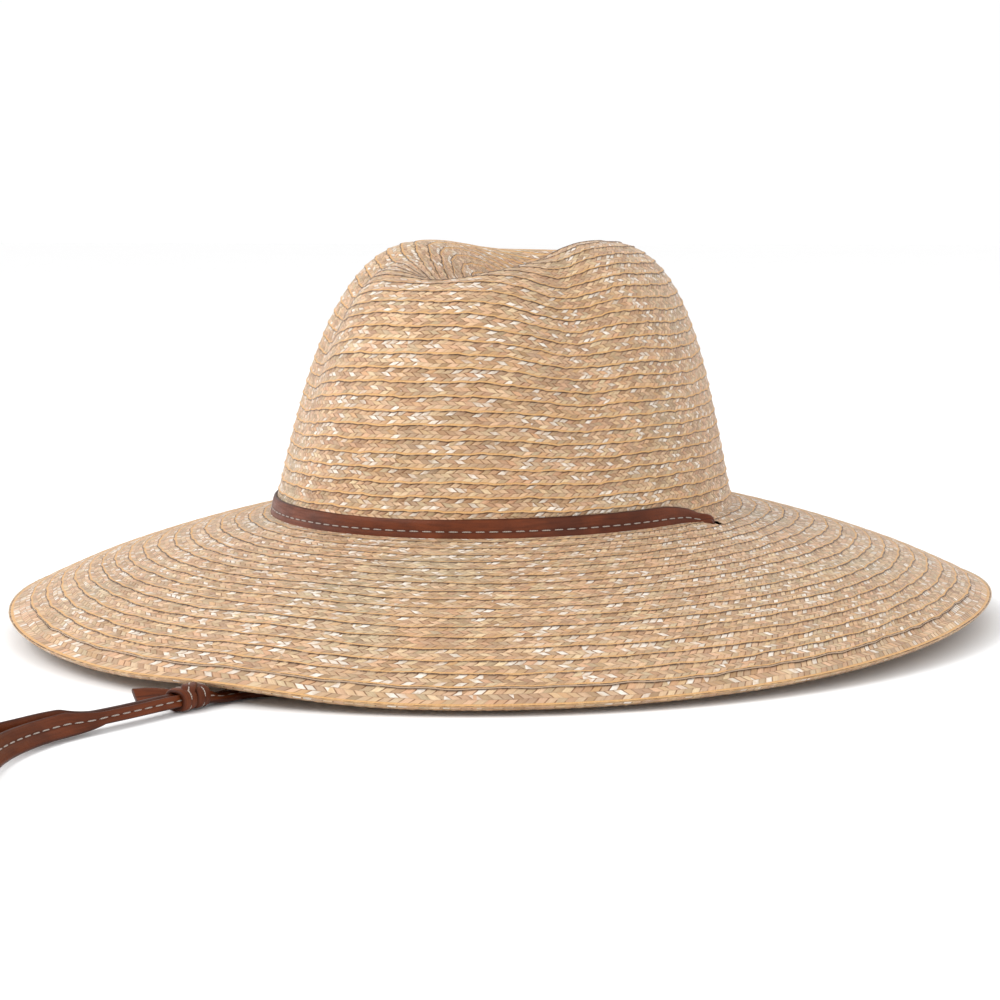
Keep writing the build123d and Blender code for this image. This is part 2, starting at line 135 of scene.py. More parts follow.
class Graph:
    """A material and short names for the nodes that it is made of."""

    def __init__(self, name):
        self.material = bpy.data.materials.new(name)
        self.material.use_nodes = True
        self.tree = self.material.node_tree
        self.shader = self.tree.nodes["Principled BSDF"]

    def put(self, socket, value):
        if isinstance(value, bpy.types.NodeSocket):
            self.tree.links.new(value, socket)
        else:
            socket.default_value = value

    def add(self, kind, **inputs):
        node = self.tree.nodes.new(kind)
        for name, value in inputs.items():
            self.put(node.inputs[name.replace("_", " ")], value)
        return node

    def math(self, operation, *values):
        node = self.tree.nodes.new("ShaderNodeMath")
        node.operation = operation
        for socket, value in zip(node.inputs, values):
            self.put(socket, value)
        return node.outputs[0]

    def mix(self, factor, first, second, blend="MIX"):
        node = self.tree.nodes.new("ShaderNodeMix")
        node.data_type = "RGBA"
        node.blend_type = blend
        self.put(node.inputs[0], factor)
        self.put(node.inputs[6], first)
        self.put(node.inputs[7], second)
        return node.outputs[2]

    def span(self, value, low, high, out_low=0.0, out_high=1.0):
        """Smoothly maps a value from one range to another."""
        node = self.tree.nodes.new("ShaderNodeMapRange")
        node.interpolation_type = "SMOOTHSTEP"
        for socket, v in zip(node.inputs, (value, low, high, out_low, out_high)):
            self.put(socket, v)
        return node.outputs[0]

    def vector(self, x, y, z):
        return self.add("ShaderNodeCombineXYZ", X=x, Y=y, Z=z).outputs[0]

    def scaled(self, x, y, z):
        """A vector whose first two parts are each a socket times a number."""
        return self.vector(self.math("MULTIPLY", *x), self.math("MULTIPLY", *y), z)

    def noise(self, vector, scale, detail=2.0):
        node = self.add("ShaderNodeTexNoise", Vector=vector, Scale=scale, Detail=detail)
        return node.outputs["Fac"]

    def uv(self):
        node = self.tree.nodes.new("ShaderNodeUVMap")
        node.uv_map = "plait"
        parts = self.add("ShaderNodeSeparateXYZ", Vector=node.outputs[0])
        return parts.outputs[0], parts.outputs[1]

    def place(self):
        return self.tree.nodes.new("ShaderNodeTexCoord").outputs["Object"]

    def surface(self, **inputs):
        for name, value in inputs.items():
            self.put(self.shader.inputs[name.replace("_", " ")], value)

    def bump(self, height, distance, strength=1.0):
        node = self.add("ShaderNodeBump", Height=height, Distance=distance, Strength=strength)
        self.put(self.shader.inputs["Normal"], node.outputs[0])


# ---- Straw plait: shared pattern ----------------------------------------------------
# Across a course, 0 is where it comes out from under the one above and 1 is its edge.
ZONES = 3                      # rows of slanted straws across a course
LAST_ROW = ZONES - 0.001       # keeps the rounded edge in the last zone
BODY_SHARE = 0.86              # share of a course above its rounded edge
BODY_FADE = (0.83, 0.88)       # where the slanted straws give way to the edge
SEAM_SHADE_START = (0.935, 0.975)    # where the painted seam shadow begins
SLANT = 0.65                   # facets that a straw runs along while it crosses a zone
ZONE_STAGGER = 0.5             # facets that each zone is shifted by
COURSE_STAGGER = 0.37          # facets that each course is shifted by
FACET_PITCH = 2.8
SEAM_SHADE_DOT_RATE = 5.03           # radians of the dots in the painted seam shadow for each facet


def straw_material():
    """Wheat straw: slanted facets with painted shade in their gaps, a golden edge that is partly a painted
    highlight, and a painted shadow along each course's seam.
    """
    g = Graph("straw_braid")
    along, across = g.uv()
    share = g.math("FRACT", across)
    course = g.math("FLOOR", across)
    rows = g.math("MINIMUM", g.math("MULTIPLY", share, ZONES / BODY_SHARE), LAST_ROW)
    zone = g.math("FLOOR", rows)
    in_zone = g.math("FRACT", rows)
    odd = g.math("MODULO", zone, 2.0)
    lean = g.math("MULTIPLY_ADD", odd, -2.0 * SLANT, SLANT)
    shifted = g.math("MULTIPLY_ADD", g.math("SUBTRACT", in_zone, 0.5), lean, along)
    shifted = g.math("MULTIPLY_ADD", zone, ZONE_STAGGER, shifted)
    shifted = g.math("MULTIPLY_ADD", course, COURSE_STAGGER, shifted)
    facet = g.math("FLOOR", shifted)
    in_facet = g.math("FRACT", shifted)

    cell = g.vector(g.math("ADD", facet, 0.5), g.math("ADD", zone, 0.5), g.math("ADD", course, 0.5))
    random = g.add("ShaderNodeTexWhiteNoise", Vector=cell)
    parts = g.add("ShaderNodeSeparateXYZ", Vector=random.outputs["Color"])
    first, second, third = (parts.outputs[i] for i in range(3))

    from_middle, from_zone = (
        g.math("MULTIPLY", g.math("ABSOLUTE", g.math("SUBTRACT", place, 0.5)), 2.0)
        for place in (in_facet, in_zone)
    )
    gap = g.span(from_middle, 0.70, 0.97)
    zone_gap = g.span(from_zone, 0.84, 1.0)
    edge = g.math("MULTIPLY", g.span(share, 0.80, BODY_SHARE), g.span(share, *SEAM_SHADE_START, 1.0, 0.0))
    seam_shade = g.math("MAXIMUM", g.span(share, *SEAM_SHADE_START), g.span(share, 0.0, 0.085, 1.0, 0.0))
    body = g.span(share, *BODY_FADE, 1.0, 0.0)

    patches = g.noise(g.place(), 22.0, 3.0)
    drift = g.noise(g.scaled((along, 0.13), (course, 1.7), 0.0), 1.0)
    fibres = g.noise(g.scaled((shifted, 9.0), (rows, 0.9), course), 1.0, 3.0)
    specks = g.noise(g.scaled((along, 1.3), (across, 2.0), 7.3), 1.0)

    tan = g.mix(first, colour(184, 146, 102), colour(211, 191, 155))
    tan = g.mix(g.math("MULTIPLY", second, 0.60), tan, colour(203, 156, 130))
    tan = g.mix(g.span(patches, 0.52, 0.78, 0.0, 0.55), tan, colour(179, 174, 147))
    tan = g.mix(g.span(fibres, 0.30, 0.75, 0.35, 0.0), tan, colour(157, 114, 72))
    fourth = g.math("FRACT", g.math("MULTIPLY_ADD", third, 61.7, g.math("MULTIPLY", first, 13.0)))
    tan = g.mix(1.0, tan, g.math("MULTIPLY_ADD", fourth, 0.52, 0.72), "MULTIPLY")
    by_drift = g.span(drift, 0.42, 0.70, 0.10, 0.48)
    by_zone = g.span(zone, 0.0, 2.0, 1.0, 0.4)
    white = g.math("LESS_THAN", third, g.math("MULTIPLY", by_drift, by_zone))
    white = g.math("MULTIPLY", white, g.span(from_middle, 0.72, 0.92, 1.0, 0.0))
    white = g.math("MULTIPLY", white, g.span(from_zone, 0.80, 0.98, 1.0, 0.0))
    pale = g.mix(g.span(second, 0.3, 0.9), colour(232, 223, 212), colour(207, 196, 180))
    tan = g.mix(g.math("MULTIPLY", white, g.span(specks, 0.30, 0.62, 0.35, 0.90)), tan, pale)
    # Painted shade in the gaps between the slanted straws, broken up by specks.
    gap_shade_strength = g.span(specks, 0.36, 0.64, 0.10, 0.95)
    gaps = g.math("MULTIPLY", g.math("MAXIMUM", gap, g.math("MULTIPLY", zone_gap, 0.7)), gap_shade_strength)
    tan = g.mix(g.math("MULTIPLY", gaps, body), tan, colour(120, 78, 44))
    # The rolled edge's own golden colour, partly a painted highlight where the edge catches the light.
    golden_edge_and_highlight = g.mix(fibres, colour(186, 130, 68), colour(220, 180, 124))
    tan = g.mix(edge, tan, golden_edge_and_highlight)
    # Painted shadow along each seam, under the course's edge, in dots and dashes.
    shade_dots = g.span(g.math("SINE", g.math("MULTIPLY", along, SEAM_SHADE_DOT_RATE)), -0.1, 0.7, 0.25, 0.95)
    shade_dashes = g.math("MAXIMUM", g.math("MULTIPLY", shade_dots, 0.95), g.span(specks, 0.42, 0.60, 0.35, 1.0))
    tan = g.mix(g.math("MULTIPLY", seam_shade, shade_dashes), tan, colour(66, 38, 18))

    ridge = g.math("SUBTRACT", 1.0, g.math("POWER", from_middle, 3.0))
    height = g.math("MULTIPLY", ridge, g.math("SUBTRACT", 1.0, g.math("MULTIPLY", zone_gap, 0.7)))
    height = g.math("MULTIPLY", height, body)
    height = g.math("MULTIPLY_ADD", fibres, 0.45, height)
    g.surface(
        Base_Color=tan,
        Roughness=g.math("MULTIPLY_ADD", gaps, 0.3, g.math("MULTIPLY_ADD", white, -0.15, 0.46)),
        Specular_IOR_Level=0.45,
        Sheen_Weight=0.06,
    )
    g.bump(height, 0.00035, 0.7)
    return g.material


def hash_share(*keys):
    """Repeatable pseudo-random shares from integer arrays."""
    total = sum(np.asarray(k, float) * f for k, f in zip(keys, (12.9898, 78.233, 37.719)))
    return np.mod(np.sin(total) * 43758.5453, 1.0)


RIDGE_HEIGHT = 0.20            # of a facet's middle above its gaps
RIDGE_SINK = 0.10              # keeps the facets level with the section on the whole
FACET_SCATTER = 0.10
BEAD_HEIGHT = 0.07
BEAD_FADE = (0.84, 0.90)


def plait_relief(along, across):
    """Height of the slanted straws above the course's own section."""
    course = np.floor(across)
    share = across - course
    rows = np.minimum(share * ZONES / BODY_SHARE, LAST_ROW)
    zone = np.floor(rows)
    in_zone = rows - zone
    lean = np.where(zone % 2 == 1, -SLANT, SLANT)
    shifted = along + (in_zone - 0.5) * lean + zone * ZONE_STAGGER + course * COURSE_STAGGER
    facet = np.floor(shifted)
    ridge = 1.0 - np.abs(2.0 * (shifted - facet) - 1.0) ** 3
    crown = 1.0 - 0.7 * np.abs(2.0 * in_zone - 1.0) ** 4
    lift = FACET_SCATTER * (hash_share(facet, zone, course) - 0.5)
    body = 1.0 - smooth_step(*BODY_FADE, share)
    wave = np.cos(2.0 * np.pi * (along + 1.2 * share))
    beads = BEAD_HEIGHT * wave * smooth_step(*BEAD_FADE, share)
    return body * (RIDGE_HEIGHT * ridge * crown - RIDGE_SINK + lift) + beads


# Section of one course: its height above the hat's block, and the inside's depth below it.
PROFILE_SHARE = np.array([0, .045, .13, .24, .36, .48, .60, .72, .84, .905, .95, .982])
PROFILE_HEIGHT = np.array([-.80, -.38, -.17, -.05, .05, .13, .20, .26, .38, .42, .26, -.25])
INNER_SHARE = np.array([0.0, 0.08, 0.5, 0.88, 0.97])
INNER_DEPTH = np.array([2.15, 1.75, 1.9, 2.0, 2.2])


def course_section(across, shares, values):
    """A section that starts again with each course, at places across the courses."""
    return np.interp(across % 1.0, np.append(shares, 1.0), np.append(values, values[0]))


# ---- Shape of the hat's block -------------------------------------------------------
CROWN_HALF_LENGTH = 103.0
CROWN_HALF_WIDTH = 87.0
BRIM_WIDTH = 102.5
CROWN_FOOT_HEIGHT = 42.2
CROWN_RISE = 109.0
CROWN_ROUNDING = 0.468
TIP_RADIUS = 0.4
CROWN_COURSES = 34
BRIM_COURSES = 17              # and the doubled one at the edge
EDGE_COURSE_START = 94.5
EDGE_FOOT = 2.6
EDGE_DROOP = 1.0               # how far the brim's upper surface sinks towards its edge
DROOP_START = 70.0
CROWN_LEAN = 2.9               # how far the top stands towards the wearer's left
CROWN_NARROWING = 0.015        # share of its width that the top loses
LENGTH_TAPER = 10.7            # how much shorter and narrower each half is at the top
WIDTH_TAPER = 23.5
PINCH_DEPTH = 13.0
PINCH_ANGLE = 41.0             # degrees from the front, on both sides
PINCH_SPREAD = 17.0
BACK_FALL = 3.0                # how far the top falls towards the back
DENT_DEPTH = 27.0
DENT_FRONT_DEPTH = 6.0
DENT_FRONT = -60.0             # where the dent's deep part begins and ends
DENT_BACK = 48.5
DENT_SOFTNESS = 8.0
DENT_SPREAD = 24.0
FALL_STRAIGHT = 0.608          # the brim falls partly in a line and partly in a curve
FALL_CURVED = 0.392
WAVE_HEIGHT = 7.6              # the brim's edge rises at two sides
WAVE_ANGLE = 19.5
STRAP_RISE = 2.5               # and a little over the chin strap
STRAP_RISE_ANGLE = -3.3
STRAP_RISE_SPREAD = 9.0


def bump_at(angle, centre, spread):
    turn = (np.degrees(angle) - centre + 180.0) % 360.0 - 180.0
    return np.exp(-((turn / spread) ** 2))


def logistic(value):
    return 1.0 / (1.0 + np.exp(-value))


def dent_depth(x, y):
    front = logistic((DENT_FRONT - y) / DENT_SOFTNESS)
    back = logistic((DENT_BACK - y) / DENT_SOFTNESS)
    depth = DENT_DEPTH * back * (1.0 - front) + DENT_FRONT_DEPTH * front
    return depth * np.exp(-((x / DENT_SPREAD) ** 2))


def oval_radius(phi, half_length, half_width):
    return 1.0 / np.hypot(np.cos(phi) / half_length, np.sin(phi) / half_width)


def crown_radius(phi, rise):
    half_length = CROWN_HALF_LENGTH - LENGTH_TAPER * rise
    half_width = CROWN_HALF_WIDTH - WIDTH_TAPER * rise
    pinches = bump_at(phi, PINCH_ANGLE, PINCH_SPREAD) + bump_at(phi, -PINCH_ANGLE, PINCH_SPREAD)
    return oval_radius(phi, half_length, half_width) - PINCH_DEPTH * rise * pinches


def crown_block(phi, t):
    rise = np.maximum(np.cos(t), 0.0) ** CROWN_ROUNDING
    radius = crown_radius(phi, rise) * np.sin(t) ** CROWN_ROUNDING
    x, y = radius * np.sin(phi), -radius * np.cos(phi)
    drop = dent_depth(x, y) + BACK_FALL * np.clip(y / CROWN_HALF_LENGTH, 0.0, 1.0) ** 2
    x = x * (1.0 - CROWN_NARROWING * rise ** 2) + CROWN_LEAN * rise ** 2
    return np.stack([x, y, CROWN_FOOT_HEIGHT + rise * (CROWN_RISE - drop)], axis=-1)


# Waves in the courses: size in courses, waves round the hat, phase, and phase per level.
WIDE_WAVES = ((0.16, 2.0, 1.0, 5.0), (0.10, 3.0, 2.0, -7.0), (0.06, 5.0, 0.0, 11.0))
SMALL_WAVES = (
    (0.035, 17.0, 0.0, 37.0), (0.025, 31.0, 0.0, -53.0),
    (0.03, 61.0, 0.0, 90.0), (0.02, 103.0, 0.0, -140.0),
)


def wave_sum(waves, phi, level):
    return sum(size * np.sin(turns * phi + phase + slide * level) for size, turns, phase, slide in waves)


def course_drift(phi, level):
    """How far hand-sewn courses wander, in courses; level is 0 at one end and 1 at the other."""
    hold = 4.0 * level * (1.0 - level)
    small = np.minimum(1.0, 6.0 * hold) * wave_sum(SMALL_WAVES, phi, level)
    return hold * wave_sum(WIDE_WAVES, phi, level) + small


def crown_surface(phi, across):
    """Block points for angles by courses; course 0 is at the middle of the tip."""
    found = np.empty((len(phi), len(across), 3))
    middle = (np.pi / 4) ** 0.5
    for i, angle in enumerate(phi):
        start = np.arcsin((TIP_RADIUS / crown_radius(angle, 1.0)) ** (1.0 / CROWN_ROUNDING))
        near_tip = np.linspace(start ** 0.5, middle, 300) ** 2
        near_foot = np.pi / 2 - np.linspace(middle, 0.0, 300) ** 2
        points = crown_block(angle, np.concatenate([near_tip, near_foot[1:]]))
        lengths = lengths_along(points)
        level = across / CROWN_COURSES
        wanted = (level + course_drift(angle, level) / CROWN_COURSES) * lengths[-1]
        found[i] = points_at(wanted, lengths, points)
    return found


def brim_width_at(across):
    plain = across * EDGE_COURSE_START / BRIM_COURSES
    doubled = EDGE_COURSE_START + (across - BRIM_COURSES) * (BRIM_WIDTH - EDGE_COURSE_START)
    return np.where(across <= BRIM_COURSES, plain, doubled)


def brim_point(phi, width):
    """The brim's upper surface at an angle and a plan distance from the crown."""
    radius = oval_radius(phi, CROWN_HALF_LENGTH, CROWN_HALF_WIDTH)
    x, y = radius * np.sin(phi), -radius * np.cos(phi)
    out_x, out_y = x / CROWN_HALF_WIDTH ** 2, y / CROWN_HALF_LENGTH ** 2
    size = np.hypot(out_x, out_y)
    share = width / BRIM_WIDTH
    fall = FALL_STRAIGHT * share + FALL_CURVED * share ** 2
    wave = WAVE_HEIGHT * np.sin(phi - np.radians(WAVE_ANGLE)) ** 2
    edge = EDGE_FOOT + wave + STRAP_RISE * bump_at(phi, STRAP_RISE_ANGLE, STRAP_RISE_SPREAD)
    z = CROWN_FOOT_HEIGHT - (CROWN_FOOT_HEIGHT - edge) * fall
    z = z - EDGE_DROOP * smooth_step(DROOP_START, BRIM_WIDTH, width)
    return np.stack([x + out_x / size * width, y + out_y / size * width, z], axis=-1)


def brim_surface(phi, across):
    phi = phi[:, None]
    level = across[None, :] / (BRIM_COURSES + 1)
    wander = course_drift(phi, level)
    return brim_point(phi, brim_width_at(across[None, :] + wander))


# ---- Shells of sewn courses ---------------------------------------------------------
EYELET_ANGLE = 79.0
EYELET_OFFSET = 6.4
EYELET_CLEAR_RADIUS = 5.4      # the plait lies flat under the flange
EYELET_CUT_RADIUS = 3.35
INNER_RATIO = 3                # the inside has a third as many columns as the outside
EDGE_THINNING = 0.5            # of the last course, on its inside


def eyelet_frame(side):
    """Centre and upward axis of an eyelet on the brim."""
    phi = side * np.radians(EYELET_ANGLE)
    outward = brim_point(phi, EYELET_OFFSET + 0.5) - brim_point(phi, EYELET_OFFSET - 0.5)
    around = brim_point(phi + 0.005, EYELET_OFFSET) - brim_point(phi - 0.005, EYELET_OFFSET)
    axis = unit(np.cross(around, outward))
    return brim_point(phi, EYELET_OFFSET), axis * np.sign(axis[2])


EYELETS = [eyelet_frame(1), eyelet_frame(-1)]


def eyelet_distance(points):
    """Distance of points from the nearest eyelet's axis, far above and below it as well."""
    best = np.full(points.shape[:-1], 1e9)
    for centre, axis in EYELETS:
        away = points - centre
        flat = away - (away @ axis)[..., None] * axis
        best = np.minimum(best, np.linalg.norm(flat, axis=-1))
    return best


def cut_eyelets(points, faces, uv):
    """Drops the faces that lie in an eyelet's hole."""
    keep = eyelet_distance(points[faces].mean(axis=1)) > EYELET_CUT_RADIUS
    return faces[keep], uv[keep]


def grid_normals(grid):
    around = np.roll(grid, -1, axis=0) - np.roll(grid, 1, axis=0)
    return unit(np.cross(around, np.gradient(grid, axis=1)))


def course_rows(first, last, shares):
    rows = [k + s for k in range(first, last) for s in shares]
    return np.array(rows + [float(last)])


def facet_counts(surface, first, last):
    """Whole number of facets round each course."""
    phi = np.linspace(0.0, 2.0 * np.pi, 181)[:-1]
    ring = surface(phi, np.arange(first, last) + 0.5)
    length = np.linalg.norm(np.roll(ring, -1, axis=0) - ring, axis=-1).sum(axis=0)
    return np.maximum(6, np.round(length / FACET_PITCH))


def quad_grid(columns, rows, offset, flip):
    """Faces of a closed ring grid, and each face's column and row."""
    column, row = np.meshgrid(np.arange(columns), np.arange(rows - 1), indexing="ij")
    column, row = column.ravel(), row.ravel()
    beside = (column + 1) % columns
    corners = [column * rows + row, beside * rows + row, beside * rows + row + 1,
               column * rows + row + 1]
    if flip:
        corners = corners[::-1]
    return np.stack(corners, axis=1) + offset, column, row


def grid_uv(column, row, columns, across, counts, first, flip):
    """Facets along and courses across, for each corner of each face."""
    course = np.floor(across[row] + 1e-6).astype(int) - first
    per_column = counts[course] / columns
    left, right = column * per_column, (column + 1) * per_column
    top, bottom = across[row], across[row + 1]
    bottom = np.where(np.isclose(bottom % 1.0, 0.0), bottom - 0.002, bottom)
    corners = [(left, top), (right, top), (right, bottom), (left, bottom)]
    if flip:
        corners = corners[::-1]
    return np.stack([np.stack(c, axis=1) for c in corners], axis=1)


def rim_faces(outer, inner, flip):
    """Triangles between an outer ring and an inner ring with a third as many points."""
    faces = []
    count, few = len(outer), len(inner)
    ratio = count // few
    for j in range(few):
        for i in range(ratio):
            faces.append((outer[j * ratio + i], outer[(j * ratio + i + 1) % count], inner[j]))
        faces.append((outer[((j + 1) * ratio) % count], inner[(j + 1) % few], inner[j]))
    faces = np.array(faces)
    return faces[:, ::-1] if flip else faces


def shell_piece(name, surface, first, last, columns):
    """Closed ring of sewn courses, with its plait outside and its seams inside."""
    at_edge = surface is brim_surface and last == BRIM_COURSES + 1
    counts = facet_counts(surface, first, last)
    phi = np.arange(columns) * 2.0 * np.pi / columns
    across = course_rows(first, last, PROFILE_SHARE)
    block = surface(phi, across)
    normal = grid_normals(block)
    course = np.minimum(np.floor(across + 1e-6).astype(int), last - 1)
    along = phi[:, None] / (2.0 * np.pi) * counts[course - first][None, :]
    height = course_section(across, PROFILE_SHARE, PROFILE_HEIGHT)[None, :]
    height = height + plait_relief(along, np.broadcast_to(across, along.shape))
    near = smooth_step(EYELET_CLEAR_RADIUS - 0.6, EYELET_CLEAR_RADIUS + 1.0, eyelet_distance(block))
    height = height * near + np.minimum(height, 0.0) * 0.3 * (1.0 - near)
    if surface is crown_surface and last == CROWN_COURSES:
        height = press_band(block, phi, height)
    outside = block + normal * height[..., None]

    few = columns // INNER_RATIO
    inner_across = course_rows(first, last, INNER_SHARE)
    inner_block = surface(phi[::INNER_RATIO], inner_across)
    depth = course_section(inner_across, INNER_SHARE, INNER_DEPTH)
    if at_edge:
        depth = depth - EDGE_THINNING
        outside, across = round_edge(outside, across, normal)
    inside = inner_block - grid_normals(inner_block) * depth[None, :, None]

    points = np.concatenate([outside.reshape(-1, 3), inside.reshape(-1, 3)])
    faces, column, row = quad_grid(columns, outside.shape[1], 0, False)
    uv = grid_uv(column, row, columns, across, counts, first, False)
    faces, uv = cut_eyelets(points, faces, uv)
    base = columns * outside.shape[1]
    inner_faces, column, row = quad_grid(few, inside.shape[1], base, True)
    inner_uv = grid_uv(column, row, few, inner_across, counts, first, True)
    inner_faces, inner_uv = cut_eyelets(points, inner_faces, inner_uv)

    outer_ids = np.arange(base).reshape(columns, -1)
    inner_ids = base + np.arange(inside.size // 3).reshape(few, -1)
    if first == 0 and surface is crown_surface:
        points = np.concatenate([points, [outside[:, 0].mean(axis=0)], [inside[:, 0].mean(axis=0)]])
        top, under = len(points) - 2, len(points) - 1
        ring = outer_ids[:, 0]
        caps = [np.stack([np.roll(ring, -1), ring, np.full(columns, top)], axis=1)]
        ring = inner_ids[:, 0]
        caps.append(np.stack([ring, np.roll(ring, -1), np.full(few, under)], axis=1))
    else:
        caps = [rim_faces(outer_ids[:, 0], inner_ids[:, 0], True)]
    caps.append(rim_faces(outer_ids[:, -1], inner_ids[:, -1], False))
    cap_faces = np.concatenate(caps)
    cap_uv = np.tile(np.array([[0.5, first + 0.3]]), (cap_faces.size, 1))
    uv = np.concatenate([uv.reshape(-1, 2), inner_uv.reshape(-1, 2), cap_uv])
    return mesh_object(name, points, [faces, inner_faces, cap_faces], STRAW, uv)


RIM_SHARES = (-0.50, -0.48, -0.46, -0.06, -0.04)   # the last two lie in the painted seam shadow
RIM_TURNS = np.radians((30.0, 65.0, 100.0, 135.0))
RIM_REACH = 0.55
RIM_DROP = 0.5


def round_edge(outside, across, normal):
    """Rolls the brim's last course round its edge."""
    rim = outside[:, -1]
    outward = unit(rim - outside[:, -4])
    down = -normal[:, -1]
    rows = [
        rim + RIM_REACH * np.sin(angle) * outward + RIM_DROP * (1.0 - np.cos(angle)) * down
        for angle in RIM_TURNS
    ]
    outside = np.concatenate([outside, np.stack(rows, axis=1)], axis=1)
    return outside, np.concatenate([across[:-1], across[-1] + np.array(RIM_SHARES)])


BAND_END_ANGLE = (76.0, 72.0)  # degrees from the front, where the plait is free and pressed
BAND_TOP = (CROWN_FOOT_HEIGHT + 11.0, CROWN_FOOT_HEIGHT + 8.5)   # heights for the same two
PRESSED_HEIGHT = 0.1


def press_band(block, phi, height):
    """The plait is pressed flat where the leather band lies on it."""
    front = smooth_step(*BAND_END_ANGLE, np.abs((np.degrees(phi) + 180.0) % 360.0 - 180.0))
    under = front[:, None] * smooth_step(*BAND_TOP, block[..., 2])
    return height - under * np.maximum(height - PRESSED_HEIGHT, 0.0)


# ---- Ribbons of leather -------------------------------------------------------------
def smooth_path(points, count):
    """Even points on a smooth line through given ones."""
    points = np.asarray(points, float)
    gaps = np.linalg.norm(np.diff(points, axis=0), axis=1) ** 0.5
    knots = np.concatenate([[0.0], np.cumsum(gaps)])
    slopes = np.gradient(points, knots, axis=0)
    fine = np.linspace(0.0, knots[-1], 40 * len(points))
    i = np.clip(np.searchsorted(knots, fine, side="right") - 1, 0, len(points) - 2)
    span = knots[i + 1] - knots[i]
    s = ((fine - knots[i]) / span)[:, None]
    span = span[:, None]
    found = (
        (2 * s ** 3 - 3 * s ** 2 + 1) * points[i] + (s ** 3 - 2 * s ** 2 + s) * span * slopes[i]
        + (3 * s ** 2 - 2 * s ** 3) * points[i + 1] + (s ** 3 - s ** 2) * span * slopes[i + 1]
    )
    return even_points(found, count)


# Section of a lace: flat back, rounded edges, a face that sinks a little at the stitches.
SECTION_ACROSS = np.array([
    -1, -.97, -.86, -.55, -.22, -.06, .06, .22, .55, .86, .97, 1, .97, .86, .4, 0, -.4, -.86, -.97
])
SECTION_HEIGHT = np.array([
    0, .55, .90, 1, .93, .78, .78, .93, 1, .90, .55, 0, -.55, -.9, -1, -1, -1, -.9, -.55
])


def ribbon_frames(path, facing):
    """Face normal and width direction at each point of a path."""
    tangent = unit(np.gradient(path, axis=0))
    normal = unit(facing - np.sum(facing * tangent, axis=1, keepdims=True) * tangent)
    return normal, np.cross(tangent, normal)


def tube_corners(rings, around):
    """Ring number and place on it for the four corners of each face of a tube."""
    ring, place = np.meshgrid(np.arange(rings - 1), np.arange(around), indexing="ij")
    ring, place = ring.ravel(), place.ravel()
    beside = (place + 1) % around
    return [(ring, place), (ring, beside), (ring + 1, beside), (ring + 1, place)]


def ribbon(name, path, facing, width, thickness, body, curl):
    """Lace along a path; its sizes are one number or one per point, and curl cups its face."""
    normal, side = ribbon_frames(path, facing)
    count, around = len(path), len(SECTION_ACROSS)
    half = (np.broadcast_to(width, count) / 2)[:, None]
    thick = (np.broadcast_to(thickness, count) / 2)[:, None]
    bend = np.broadcast_to(curl, count)[:, None]
    across = half * SECTION_ACROSS[None, :]
    lift = thick * SECTION_HEIGHT[None, :] + bend * (SECTION_ACROSS[None, :] ** 2 - 0.35)
    points = path[:, None] + side[:, None] * across[..., None] + normal[:, None] * lift[..., None]
    flat = points.reshape(-1, 3)
    corners = tube_corners(count, around)
    faces = np.stack([ring * around + place for ring, place in corners], axis=1)
    lengths = lengths_along(path)
    uv = np.stack([
        np.stack([lengths[ring], SECTION_ACROSS[place]], axis=1) for ring, place in corners
    ], axis=1)
    ends = []
    for start, turned in ((0, True), (count - 1, False)):
        flat = np.concatenate([flat, [points[start].mean(axis=0)]])
        ring = start * around + np.arange(around)
        fan = np.stack([ring, np.roll(ring, -1), np.full(around, len(flat) - 1)], axis=1)
        ends.append(fan[:, ::-1] if turned else fan)
    fans = np.concatenate(ends)
    fan_uv = np.tile(np.array([[0.0, 1.0]]), (fans.size, 1))
    uv = np.concatenate([uv.reshape(-1, 2), fan_uv])
    piece = mesh_object(name, flat, [faces, fans], LEATHER, uv, body)
    return piece


STITCH_PITCH = 4.8
STITCH_LENGTH = 3.6
STITCH_RINGS = 7
STITCH_SIDES = 8
STITCH_HALF_WIDTH = 0.23
STITCH_HALF_HEIGHT = 0.18
STITCH_ARCH = 0.12
STITCH_SINK = 0.10             # how deep its ends go into the lace


def stitches(name, path, facing, body, lift, margin):
    """A row of separate stitches, each a short arched thread, up to a margin at each end."""
    lengths = lengths_along(path)
    lift = np.broadcast_to(lift, len(path))
    share = np.linspace(0.0, 1.0, STITCH_RINGS)
    swell = np.sqrt(np.clip(1.0 - (2.0 * share - 1.0) ** 4, 0.02, 1.0))
    turn = np.linspace(0.0, 2.0 * np.pi, STITCH_SIDES, endpoint=False)
    sideways = STITCH_HALF_WIDTH * swell[:, None] * np.cos(turn)
    upward = STITCH_HALF_HEIGHT * swell[:, None] * np.sin(turn)
    corners = [tube_corners(STITCH_RINGS, STITCH_SIDES)[k] for k in (1, 0, 3, 2)]
    ring_faces = np.stack([ring * STITCH_SIDES + spot for ring, spot in corners], axis=1)
    points, faces, uv = [], [], []
    place = margin
    while place + STITCH_LENGTH < lengths[-1] - margin:
        wanted = place + share * STITCH_LENGTH
        centre = points_at(wanted, lengths, path)
        normal, side = ribbon_frames(centre, unit(points_at(wanted, lengths, facing)))
        arch = np.interp(wanted, lengths, lift) + STITCH_ARCH * swell - STITCH_SINK
        rings = (
            centre[:, None] + side[:, None] * sideways[..., None]
            + normal[:, None] * (arch[:, None] + upward)[..., None]
        )
        faces.append(len(points) * STITCH_RINGS * STITCH_SIDES + ring_faces)
        points.append(rings.reshape(-1, 3))
        uv.append(np.stack([
            np.stack([wanted[ring], spot / STITCH_SIDES], axis=1) for ring, spot in corners
        ], axis=1))
        place += STITCH_PITCH
    piece = mesh_object(name, np.concatenate(points), [np.concatenate(faces)], THREAD,
                        np.concatenate(uv).reshape(-1, 2), body)
    return piece


